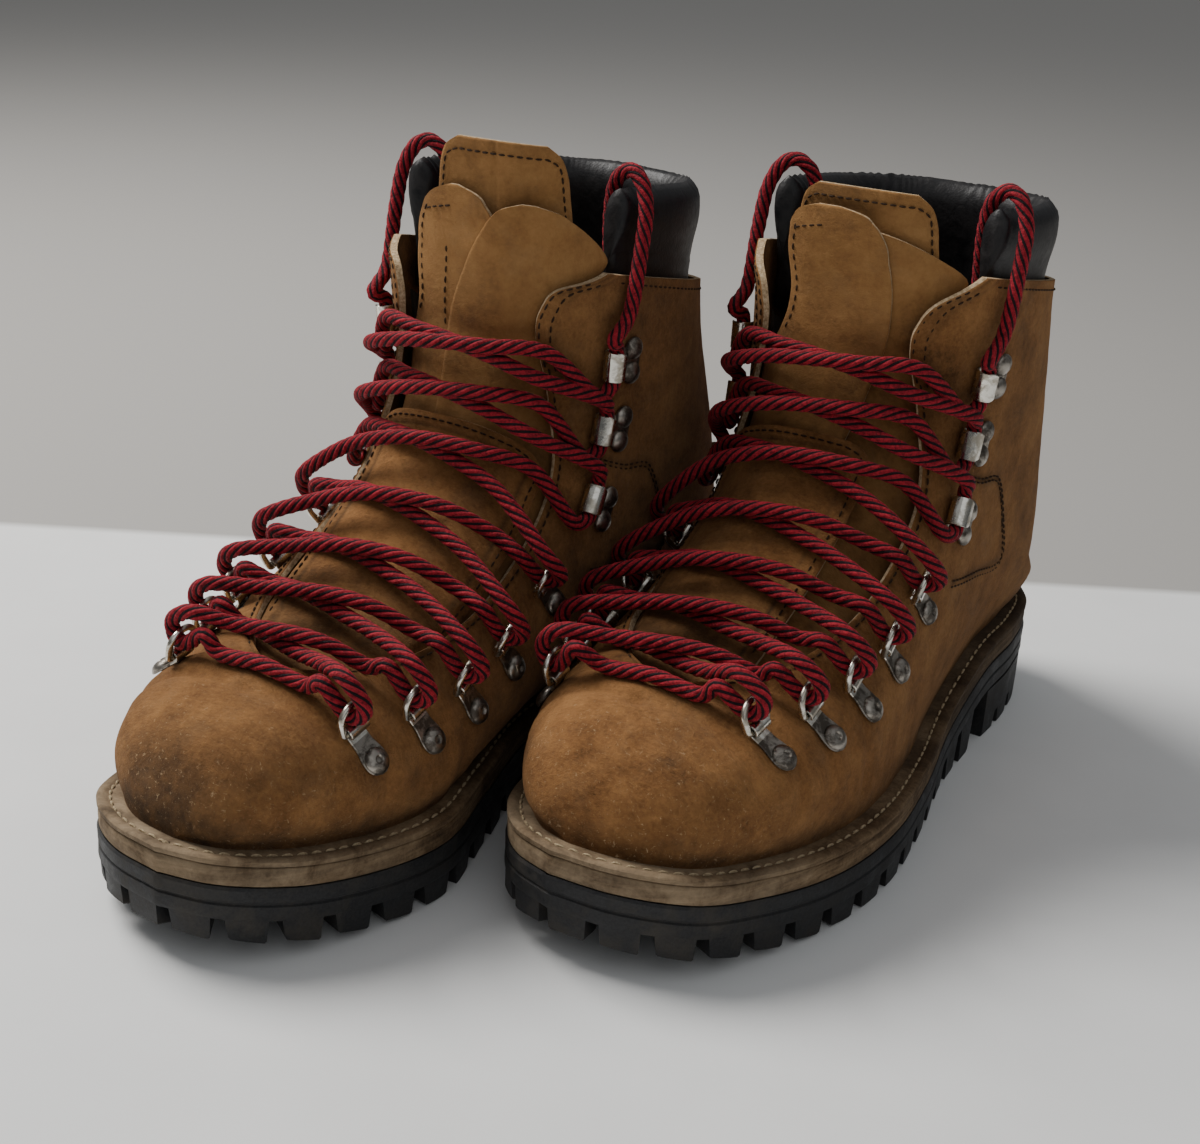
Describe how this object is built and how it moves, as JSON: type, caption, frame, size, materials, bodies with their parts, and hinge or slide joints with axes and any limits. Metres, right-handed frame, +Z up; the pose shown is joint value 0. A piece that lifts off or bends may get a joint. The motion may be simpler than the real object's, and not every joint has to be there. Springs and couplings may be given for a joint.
{
  "type": "pair of lace-up hiking boots",
  "caption": "Pair of ankle-high welted leather hiking boots with padded collars, lugged rubber soles, swinging lace rings, speed hooks and twisted laces.",
  "frame": {"origin": "floor point below the middle of the standing pair", "axes": "+Z up; the toes point to -Y and the heels to +Y; +X is to the left boot, the wearer's left"},
  "size_m": [0.2232, 0.3716, 0.2255],
  "materials": {
    "suede_leather": "worn tan-brown roughout leather",
    "lining_leather": "dark smooth lining leather",
    "fibre_board": "stiff leather board, hidden between layers",
    "leather_midsole": "layered sole leather, brown-grey, scuffed",
    "sole_rubber": "black moulded rubber, dusty",
    "black_leather": "soft black padded leather",
    "dark_nickel": "worn dark nickel plate",
    "bright_nickel": "bright nickel plate",
    "twisted_cord": "twisted crimson and black cord"
  },
  "bodies": {
    "left_boot": {"left_upper": "suede_leather", "left_backstay": "suede_leather", "left_flap_inner": "suede_leather", "left_flap_outer": "suede_leather", "left_tongue": "suede_leather", "left_instep_cover": "suede_leather", "left_lining": "lining_leather", "left_footbed": "lining_leather", "left_toe_puff": "fibre_board", "left_heel_counter": "fibre_board", "left_insole_board": "fibre_board", "left_midsole": "leather_midsole", "left_welt": "leather_midsole", "left_outsole": "sole_rubber", "left_heel_block": "sole_rubber", "left_collar": "black_leather", "left_hardware_inner": "dark_nickel", "left_hardware_outer": "dark_nickel", "left_lace": "twisted_cord"},
    "left_outer_ring_1": {"left_ring_outer_1": "bright_nickel"},
    "left_outer_ring_2": {"left_ring_outer_2": "bright_nickel"},
    "left_outer_ring_3": {"left_ring_outer_3": "bright_nickel"},
    "left_outer_ring_4": {"left_ring_outer_4": "bright_nickel"},
    "left_outer_ring_5": {"left_ring_outer_5": "bright_nickel"},
    "left_inner_ring_1": {"left_ring_inner_1": "bright_nickel"},
    "left_inner_ring_2": {"left_ring_inner_2": "bright_nickel"},
    "left_inner_ring_3": {"left_ring_inner_3": "bright_nickel"},
    "left_inner_ring_4": {"left_ring_inner_4": "bright_nickel"},
    "left_inner_ring_5": {"left_ring_inner_5": "bright_nickel"},
    "right_boot": {"right_upper": "suede_leather", "right_backstay": "suede_leather", "right_flap_inner": "suede_leather", "right_flap_outer": "suede_leather", "right_tongue": "suede_leather", "right_instep_cover": "suede_leather", "right_lining": "lining_leather", "right_footbed": "lining_leather", "right_toe_puff": "fibre_board", "right_heel_counter": "fibre_board", "right_insole_board": "fibre_board", "right_midsole": "leather_midsole", "right_welt": "leather_midsole", "right_outsole": "sole_rubber", "right_heel_block": "sole_rubber", "right_collar": "black_leather", "right_hardware_inner": "dark_nickel", "right_hardware_outer": "dark_nickel", "right_lace": "twisted_cord"},
    "right_outer_ring_1": {"right_ring_outer_1": "bright_nickel"},
    "right_outer_ring_2": {"right_ring_outer_2": "bright_nickel"},
    "right_outer_ring_3": {"right_ring_outer_3": "bright_nickel"},
    "right_outer_ring_4": {"right_ring_outer_4": "bright_nickel"},
    "right_outer_ring_5": {"right_ring_outer_5": "bright_nickel"},
    "right_inner_ring_1": {"right_ring_inner_1": "bright_nickel"},
    "right_inner_ring_2": {"right_ring_inner_2": "bright_nickel"},
    "right_inner_ring_3": {"right_ring_inner_3": "bright_nickel"},
    "right_inner_ring_4": {"right_ring_inner_4": "bright_nickel"},
    "right_inner_ring_5": {"right_ring_inner_5": "bright_nickel"}
  },
  "joints": [
    {"name": "right_boot_lift", "type": "slide", "parent": "left_boot", "child": "right_boot", "axis": [0, 0, 1], "range_m": [0, 0.25]},
    {"name": "left_outer_ring_1_turn", "type": "hinge", "parent": "left_boot", "child": "left_outer_ring_1", "pos_m": [0.08465, -0.06562, 0.071], "axis": [0.0393, 0.9789, 0.2007], "range_deg": [-3, 3]},
    {"name": "left_outer_ring_2_turn", "type": "hinge", "parent": "left_boot", "child": "left_outer_ring_2", "pos_m": [0.09226, -0.04489, 0.07148], "axis": [-0.0067, 0.9422, 0.3351], "range_deg": [-3, 3]},
    {"name": "left_outer_ring_3_turn", "type": "hinge", "parent": "left_boot", "child": "left_outer_ring_3", "pos_m": [0.0968, -0.02485, 0.07506], "axis": [-0.0622, 0.9231, 0.3794], "range_deg": [-3, 3]},
    {"name": "left_outer_ring_4_turn", "type": "hinge", "parent": "left_boot", "child": "left_outer_ring_4", "pos_m": [0.09834, -0.00376, 0.08069], "axis": [-0.099, 0.8922, 0.4407], "range_deg": [-3, 3]},
    {"name": "left_outer_ring_5_turn", "type": "hinge", "parent": "left_boot", "child": "left_outer_ring_5", "pos_m": [0.09722, 0.01994, 0.09175], "axis": [-0.0658, 0.8202, 0.5682], "range_deg": [-3, 3]},
    {"name": "left_inner_ring_1_turn", "type": "hinge", "parent": "left_boot", "child": "left_inner_ring_1", "pos_m": [0.01282, -0.06637, 0.06708], "axis": [-0.0433, 0.9583, 0.2825], "range_deg": [-3, 3]},
    {"name": "left_inner_ring_2_turn", "type": "hinge", "parent": "left_boot", "child": "left_inner_ring_2", "pos_m": [0.00707, -0.04449, 0.06673], "axis": [0.0035, 0.9463, 0.3232], "range_deg": [-3, 3]},
    {"name": "left_inner_ring_3_turn", "type": "hinge", "parent": "left_boot", "child": "left_inner_ring_3", "pos_m": [0.0043, -0.02386, 0.06886], "axis": [0.0878, 0.9148, 0.3942], "range_deg": [-3, 3]},
    {"name": "left_inner_ring_4_turn", "type": "hinge", "parent": "left_boot", "child": "left_inner_ring_4", "pos_m": [0.00487, -0.00229, 0.07483], "axis": [0.0966, 0.8718, 0.4802], "range_deg": [-3, 3]},
    {"name": "left_inner_ring_5_turn", "type": "hinge", "parent": "left_boot", "child": "left_inner_ring_5", "pos_m": [0.00666, 0.02159, 0.08759], "axis": [0.0427, 0.7854, 0.6176], "range_deg": [-3, 3]},
    {"name": "right_outer_ring_1_turn", "type": "hinge", "parent": "right_boot", "child": "right_outer_ring_1", "pos_m": [-0.08465, -0.13462, 0.071], "axis": [-0.0393, 0.9789, 0.2007], "range_deg": [-3, 3]},
    {"name": "right_outer_ring_2_turn", "type": "hinge", "parent": "right_boot", "child": "right_outer_ring_2", "pos_m": [-0.09226, -0.11389, 0.07148], "axis": [0.0067, 0.9422, 0.3351], "range_deg": [-3, 3]},
    {"name": "right_outer_ring_3_turn", "type": "hinge", "parent": "right_boot", "child": "right_outer_ring_3", "pos_m": [-0.0968, -0.09385, 0.07506], "axis": [0.0622, 0.9231, 0.3794], "range_deg": [-3, 3]},
    {"name": "right_outer_ring_4_turn", "type": "hinge", "parent": "right_boot", "child": "right_outer_ring_4", "pos_m": [-0.09834, -0.07276, 0.08069], "axis": [0.099, 0.8922, 0.4407], "range_deg": [-3, 3]},
    {"name": "right_outer_ring_5_turn", "type": "hinge", "parent": "right_boot", "child": "right_outer_ring_5", "pos_m": [-0.09722, -0.04906, 0.09175], "axis": [0.0658, 0.8202, 0.5682], "range_deg": [-3, 3]},
    {"name": "right_inner_ring_1_turn", "type": "hinge", "parent": "right_boot", "child": "right_inner_ring_1", "pos_m": [-0.01282, -0.13537, 0.06708], "axis": [0.0433, 0.9583, 0.2825], "range_deg": [-3, 3]},
    {"name": "right_inner_ring_2_turn", "type": "hinge", "parent": "right_boot", "child": "right_inner_ring_2", "pos_m": [-0.00707, -0.11349, 0.06673], "axis": [-0.0035, 0.9463, 0.3232], "range_deg": [-3, 3]},
    {"name": "right_inner_ring_3_turn", "type": "hinge", "parent": "right_boot", "child": "right_inner_ring_3", "pos_m": [-0.0043, -0.09286, 0.06886], "axis": [-0.0878, 0.9148, 0.3942], "range_deg": [-3, 3]},
    {"name": "right_inner_ring_4_turn", "type": "hinge", "parent": "right_boot", "child": "right_inner_ring_4", "pos_m": [-0.00487, -0.07129, 0.07483], "axis": [-0.0966, 0.8718, 0.4802], "range_deg": [-3, 3]},
    {"name": "right_inner_ring_5_turn", "type": "hinge", "parent": "right_boot", "child": "right_inner_ring_5", "pos_m": [-0.00666, -0.04741, 0.08759], "axis": [-0.0427, 0.7854, 0.6176], "range_deg": [-3, 3]}
  ]
}
